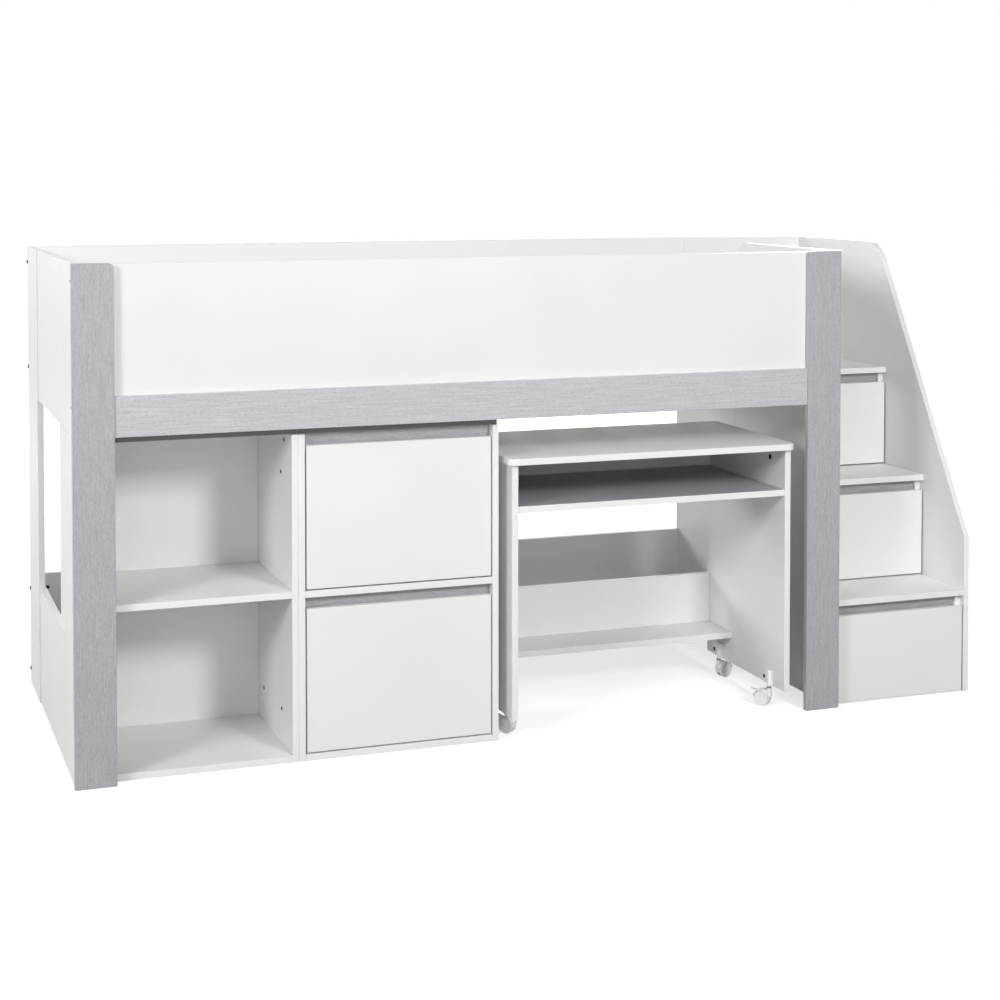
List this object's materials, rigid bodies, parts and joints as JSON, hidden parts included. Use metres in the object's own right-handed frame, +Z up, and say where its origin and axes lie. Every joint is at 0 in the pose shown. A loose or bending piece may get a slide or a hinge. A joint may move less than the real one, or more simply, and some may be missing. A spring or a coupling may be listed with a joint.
{
  "type": "cabin bed",
  "caption": "Mid-height cabin bed with a bookcase, a drawer cabinet, a roll-out desk on castors and a drawer staircase.",
  "frame": {"origin": "middle of the footprint, on the floor", "axes": "+X along the bed towards the staircase, +Y from the front with the desk to the rear, +Z up"},
  "size_m": [2.343, 0.952, 1.18],
  "materials": {
    "white_board": "white melamine-faced board, satin, with matching edge band",
    "grey_board": "grey melamine-faced board with fine straight grain",
    "pale_grey_board": "grey melamine-faced board with fine lengthwise grain",
    "slat_timber": "planed pine",
    "dark_steel": "dark coated steel, satin",
    "runner_steel": "white coated steel",
    "white_plastic": "moulded white plastic"
  },
  "bodies": {
    "bed": {"front_posts": "grey_board", "front_rail": "pale_grey_board", "front_side_board": "white_board", "left_end_stile": "white_board", "left_end_upper_panel": "white_board", "left_end_lower_panel": "white_board", "left_end_rear_post": "white_board", "rear_side_board": "white_board", "rear_low_panel": "white_board", "right_end_front_panel": "white_board", "right_end_rear_panel": "white_board", "slat_bearers": "white_board", "bed_slats": "slat_timber", "frame_bolts": "dark_steel", "bookcase_sides": "white_board", "bookcase_top": "white_board", "bookcase_bottom": "white_board", "bookcase_shelf": "white_board", "bookcase_back": "white_board", "cabinet_sides": "white_board", "cabinet_top": "white_board", "cabinet_divider": "white_board", "cabinet_bottom": "white_board", "cabinet_back": "white_board", "unit_screws": "dark_steel", "grip_strips": "grey_board", "stair_outer_panel": "white_board", "stair_rear_panel": "white_board", "stair_sides": "white_board", "stair_tread_1": "white_board", "stair_tread_2": "white_board", "stair_tread_3": "white_board", "drawer_runners": "runner_steel"},
    "cabinet_drawer_lower": {"cabinet_front_lower": "white_board", "cabinet_box_lower": "white_board"},
    "cabinet_drawer_upper": {"cabinet_front_upper": "white_board", "cabinet_box_upper": "white_board"},
    "stair_drawer_1": {"stair_front_1": "white_board", "stair_box_1": "white_board"},
    "stair_drawer_2": {"stair_front_2": "white_board", "stair_box_2": "white_board"},
    "stair_drawer_3": {"stair_front_3": "white_board", "stair_box_3": "white_board"},
    "desk": {"desk_top": "white_board", "desk_sides": "white_board", "desk_shelf": "grey_board", "desk_back_boards": "white_board", "desk_foot_shelf": "white_board", "castor_brackets": "white_plastic", "desk_fittings": "dark_steel"},
    "castor_1": {"castor_hood_1": "white_plastic"},
    "wheels_1": {"castor_wheels_1": "white_plastic"},
    "castor_2": {"castor_hood_2": "white_plastic"},
    "wheels_2": {"castor_wheels_2": "white_plastic"},
    "castor_3": {"castor_hood_3": "white_plastic"},
    "wheels_3": {"castor_wheels_3": "white_plastic"},
    "castor_4": {"castor_hood_4": "white_plastic"},
    "wheels_4": {"castor_wheels_4": "white_plastic"},
    "brake_1": {"brake_lever_1": "white_plastic"},
    "brake_2": {"brake_lever_2": "white_plastic"}
  },
  "joints": [
    {"name": "cabinet_drawer_lower_slide", "type": "slide", "parent": "bed", "child": "cabinet_drawer_lower", "axis": [0, -1, 0], "range_m": [0, 0.25]},
    {"name": "cabinet_drawer_upper_slide", "type": "slide", "parent": "bed", "child": "cabinet_drawer_upper", "axis": [0, -1, 0], "range_m": [0, 0.25]},
    {"name": "stair_drawer_1_slide", "type": "slide", "parent": "bed", "child": "stair_drawer_1", "axis": [0, -1, 0], "range_m": [0, 0.38]},
    {"name": "stair_drawer_2_slide", "type": "slide", "parent": "bed", "child": "stair_drawer_2", "axis": [0, -1, 0], "range_m": [0, 0.38]},
    {"name": "stair_drawer_3_slide", "type": "slide", "parent": "bed", "child": "stair_drawer_3", "axis": [0, -1, 0], "range_m": [0, 0.38]},
    {"name": "desk_roll", "type": "slide", "parent": "bed", "child": "desk", "axis": [0, -1, 0], "range_m": [-0.42, 0.6]},
    {"name": "castor_1_swivel", "type": "hinge", "parent": "desk", "child": "castor_1", "pos_m": [-0.0985, -0.402, 0.051], "axis": [0, 0, 1], "continuous": true},
    {"name": "wheels_1_roll", "type": "hinge", "parent": "castor_1", "child": "wheels_1", "pos_m": [-0.11007, -0.38821, 0.02], "axis": [-0.766, -0.6428, 0], "continuous": true},
    {"name": "brake_1_tilt", "type": "hinge", "parent": "castor_1", "child": "brake_1", "pos_m": [-0.12161, -0.37445, 0.03796], "axis": [-0.766, -0.6428, 0], "range_deg": [0, 25]},
    {"name": "castor_2_swivel", "type": "hinge", "parent": "desk", "child": "castor_2", "pos_m": [0.6055, -0.402, 0.051], "axis": [0, 0, 1], "continuous": true},
    {"name": "wheels_2_roll", "type": "hinge", "parent": "castor_2", "child": "wheels_2", "pos_m": [0.59393, -0.38821, 0.02], "axis": [-0.766, -0.6428, 0], "continuous": true},
    {"name": "brake_2_tilt", "type": "hinge", "parent": "castor_2", "child": "brake_2", "pos_m": [0.58239, -0.37445, 0.03796], "axis": [-0.766, -0.6428, 0], "range_deg": [0, 25]},
    {"name": "castor_3_swivel", "type": "hinge", "parent": "desk", "child": "castor_3", "pos_m": [-0.0985, -0.11, 0.051], "axis": [0, 0, 1], "continuous": true},
    {"name": "wheels_3_roll", "type": "hinge", "parent": "castor_3", "child": "wheels_3", "pos_m": [-0.08471, -0.09843, 0.02], "axis": [-0.6428, 0.766, 0], "continuous": true},
    {"name": "castor_4_swivel", "type": "hinge", "parent": "desk", "child": "castor_4", "pos_m": [0.6055, -0.11, 0.051], "axis": [0, 0, 1], "continuous": true},
    {"name": "wheels_4_roll", "type": "hinge", "parent": "castor_4", "child": "wheels_4", "pos_m": [0.62304, -0.10595, 0.02], "axis": [-0.225, 0.9744, 0], "continuous": true}
  ]
}
